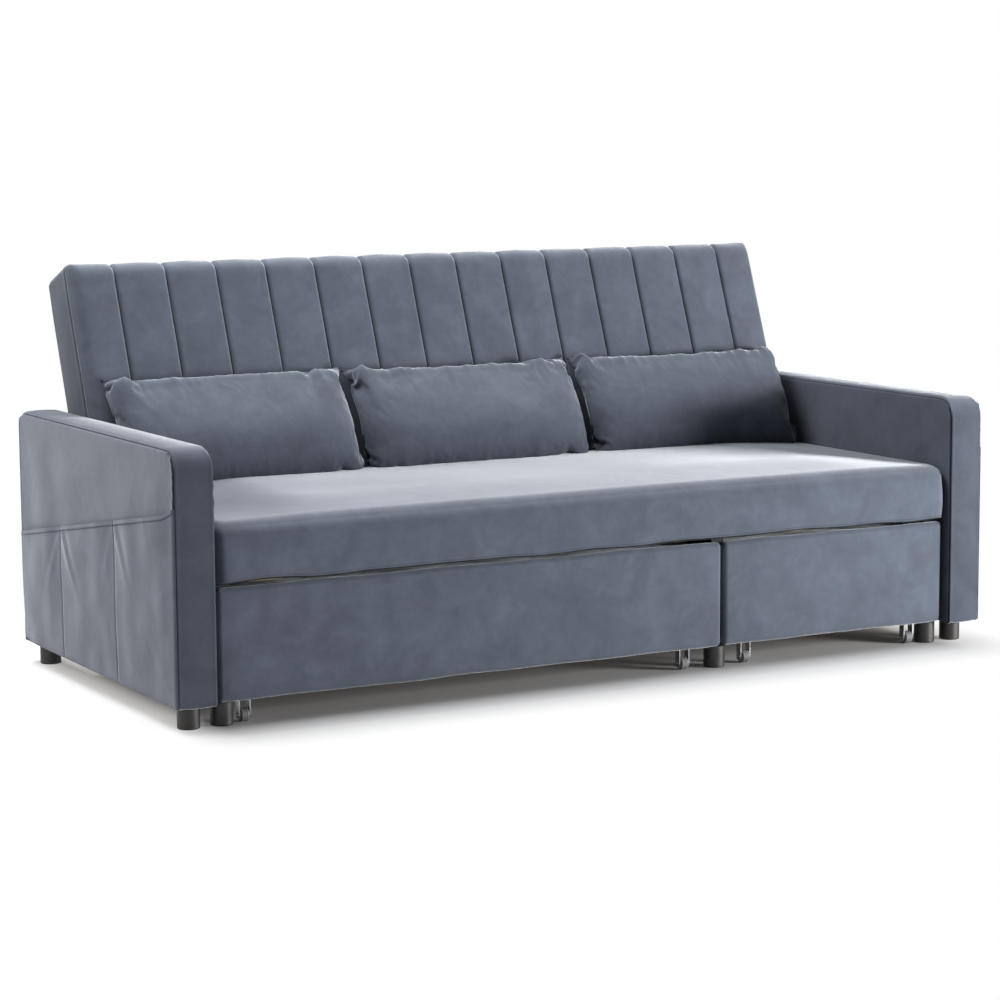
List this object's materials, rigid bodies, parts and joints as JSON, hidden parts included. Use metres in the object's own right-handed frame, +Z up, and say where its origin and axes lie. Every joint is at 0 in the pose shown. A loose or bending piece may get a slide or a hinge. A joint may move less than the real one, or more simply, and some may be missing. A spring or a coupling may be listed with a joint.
{
  "type": "sleeper sofa with pull-out bed",
  "caption": "Three-seat velvet sleeper sofa: channelled backrest that reclines flat, padded arms with side pockets, loose pillows, and pull-out beds on casters under the seat.",
  "frame": {"origin": "on the floor, under the middle of the sofa's width and depth", "axes": "+X to the right as seen from the front, +Y from the front to the rear, +Z up; the pull-out beds come out along -Y"},
  "size_m": [2.143, 1.0069, 0.9499],
  "materials": {
    "velvet": "slate blue-grey short-pile velvet with a strong sheen",
    "pocket_velvet": "slate blue-grey velvet, double stitched hem",
    "backing_velvet": "flat slate velvet over a thin board",
    "mattress_velvet": "slate blue-grey velvet over foam",
    "lining": "black non-woven lining",
    "frame_wood": "sawn pine",
    "base_board": "board covered in dark cloth",
    "bed_board": "raw plywood",
    "slat_wood": "planed bent-wood slat",
    "hinge_steel": "black lacquered steel plate",
    "deck_steel": "black powder-coated tube",
    "zinc_steel": "zinc-plated fastener",
    "caster_chrome": "bright stamped steel",
    "wheel_rubber": "grey tread with a pale hub",
    "nylon": "natural nylon",
    "leg_plastic": "black-brown moulded plastic"
  },
  "bodies": {
    "sofa": {"arm_legs": "leg_plastic", "base_legs": "leg_plastic", "left_arm_cover": "velvet", "right_arm_cover": "velvet", "left_arm_frame": "frame_wood", "right_arm_frame": "frame_wood", "left_arm_pockets": "pocket_velvet", "right_arm_pockets": "pocket_velvet", "left_hinge_bracket": "hinge_steel", "right_hinge_bracket": "hinge_steel", "left_base_board": "base_board", "middle_base_board": "base_board", "right_base_board": "base_board", "arm_bolts": "zinc_steel", "arm_spacers": "nylon", "rear_panel": "velvet", "seat_cushion": "velvet", "seat_frame": "frame_wood", "seat_dust_cloth": "lining", "hinge_bracket_screws": "zinc_steel"},
    "backrest": {"backrest_pad": "velvet", "backrest_frame": "frame_wood", "backrest_rear_cover": "backing_velvet", "left_hinge_plate": "hinge_steel", "right_hinge_plate": "hinge_steel", "backrest_hinge_pins": "zinc_steel", "backrest_hinge_screws": "zinc_steel"},
    "wide_bed": {"wide_bed_front_panel": "velvet", "wide_bed_frame": "bed_board", "wide_bed_deck_frame": "deck_steel", "wide_bed_deck_slats": "slat_wood", "wide_bed_cushion": "mattress_velvet", "wide_bed_lift_links": "deck_steel", "wide_bed_link_pins": "zinc_steel", "wide_bed_glides": "nylon", "wide_bed_caster_forks": "caster_chrome", "wide_bed_caster_axles": "caster_chrome"},
    "wide_bed_wheel_front_left": {"wide_bed_wheel_front_left": "wheel_rubber"},
    "wide_bed_wheel_front_right": {"wide_bed_wheel_front_right": "wheel_rubber"},
    "wide_bed_wheel_rear_left": {"wide_bed_wheel_rear_left": "wheel_rubber"},
    "wide_bed_wheel_rear_right": {"wide_bed_wheel_rear_right": "wheel_rubber"},
    "narrow_bed": {"narrow_bed_front_panel": "velvet", "narrow_bed_frame": "bed_board", "narrow_bed_deck_frame": "deck_steel", "narrow_bed_deck_slats": "slat_wood", "narrow_bed_cushion": "mattress_velvet", "narrow_bed_lift_links": "deck_steel", "narrow_bed_link_pins": "zinc_steel", "narrow_bed_glides": "nylon", "narrow_bed_caster_forks": "caster_chrome", "narrow_bed_caster_axles": "caster_chrome"},
    "narrow_bed_wheel_front_left": {"narrow_bed_wheel_front_left": "wheel_rubber"},
    "narrow_bed_wheel_front_right": {"narrow_bed_wheel_front_right": "wheel_rubber"},
    "narrow_bed_wheel_rear_left": {"narrow_bed_wheel_rear_left": "wheel_rubber"},
    "narrow_bed_wheel_rear_right": {"narrow_bed_wheel_rear_right": "wheel_rubber"},
    "left_pillow": {"left_pillow": "velvet"},
    "middle_pillow": {"middle_pillow": "velvet"},
    "right_pillow": {"right_pillow": "velvet"}
  },
  "joints": [
    {"name": "backrest_recline", "type": "hinge", "parent": "sofa", "child": "backrest", "pos_m": [0, 0.21559, 0.364], "axis": [-1, 0, 0], "range_deg": [0, 69]},
    {"name": "wide_bed_slide", "type": "slide", "parent": "sofa", "child": "wide_bed", "axis": [0, -1, 0], "range_m": [0, 0.565]},
    {"name": "wide_bed_wheel_front_left_spin", "type": "hinge", "parent": "wide_bed", "child": "wide_bed_wheel_front_left", "pos_m": [-0.887, -0.44141, 0.015], "axis": [-1, 0, 0], "continuous": true},
    {"name": "wide_bed_wheel_front_right_spin", "type": "hinge", "parent": "wide_bed", "child": "wide_bed_wheel_front_right", "pos_m": [0.235, -0.44141, 0.015], "axis": [-1, 0, 0], "continuous": true},
    {"name": "wide_bed_wheel_rear_left_spin", "type": "hinge", "parent": "wide_bed", "child": "wide_bed_wheel_rear_left", "pos_m": [-0.887, 0.16759, 0.015], "axis": [-1, 0, 0], "continuous": true},
    {"name": "wide_bed_wheel_rear_right_spin", "type": "hinge", "parent": "wide_bed", "child": "wide_bed_wheel_rear_right", "pos_m": [0.235, 0.16759, 0.015], "axis": [-1, 0, 0], "continuous": true},
    {"name": "narrow_bed_slide", "type": "slide", "parent": "sofa", "child": "narrow_bed", "axis": [0, -1, 0], "range_m": [0, 0.565]},
    {"name": "narrow_bed_wheel_front_left_spin", "type": "hinge", "parent": "narrow_bed", "child": "narrow_bed_wheel_front_left", "pos_m": [0.407, -0.44141, 0.015], "axis": [-1, 0, 0], "continuous": true},
    {"name": "narrow_bed_wheel_front_right_spin", "type": "hinge", "parent": "narrow_bed", "child": "narrow_bed_wheel_front_right", "pos_m": [0.887, -0.44141, 0.015], "axis": [-1, 0, 0], "continuous": true},
    {"name": "narrow_bed_wheel_rear_left_spin", "type": "hinge", "parent": "narrow_bed", "child": "narrow_bed_wheel_rear_left", "pos_m": [0.407, 0.16759, 0.015], "axis": [-1, 0, 0], "continuous": true},
    {"name": "narrow_bed_wheel_rear_right_spin", "type": "hinge", "parent": "narrow_bed", "child": "narrow_bed_wheel_rear_right", "pos_m": [0.887, 0.16759, 0.015], "axis": [-1, 0, 0], "continuous": true},
    {"name": "left_pillow_lift", "type": "slide", "parent": "sofa", "child": "left_pillow", "axis": [0, 0, 1], "range_m": [0, 0.4]},
    {"name": "middle_pillow_lift", "type": "slide", "parent": "sofa", "child": "middle_pillow", "axis": [0, 0, 1], "range_m": [0, 0.4]},
    {"name": "right_pillow_lift", "type": "slide", "parent": "sofa", "child": "right_pillow", "axis": [0, 0, 1], "range_m": [0, 0.4]}
  ]
}
